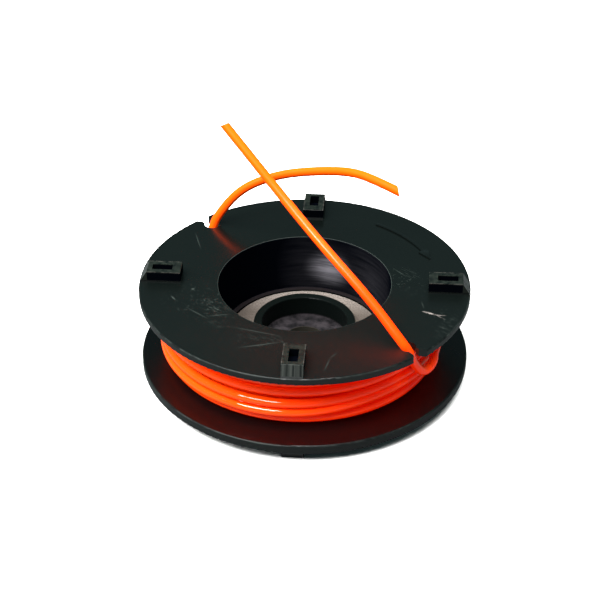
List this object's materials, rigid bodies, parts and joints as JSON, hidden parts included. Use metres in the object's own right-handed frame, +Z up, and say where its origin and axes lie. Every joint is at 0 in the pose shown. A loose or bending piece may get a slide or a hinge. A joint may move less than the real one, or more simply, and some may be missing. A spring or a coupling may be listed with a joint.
{
  "type": "trimmer line spool",
  "caption": "Black moulded flanged spool wound with orange nylon cutting line, with notched rim, drive lugs and a deep spring recess; feeds line in a string trimmer head.",
  "frame": {"origin": "on the spindle axis, on the plane that the lower lugs stand on", "axes": "+Z up along the spindle axis towards the open recess, +X and +Y through the lugs, -Y towards the viewer of the picture"},
  "size_m": [0.086, 0.086, 0.0613],
  "materials": {
    "black_plastic": "glossy moulded, lightly scuffed",
    "plated_steel": "dull plated, fine grain",
    "orange_nylon": "smooth satin gloss"
  },
  "bodies": {
    "root": {"spool_body": "black_plastic", "seat_washer": "plated_steel", "line_winding": "orange_nylon", "straight_tail": "orange_nylon", "arched_tail": "orange_nylon"}
  },
  "joints": []
}
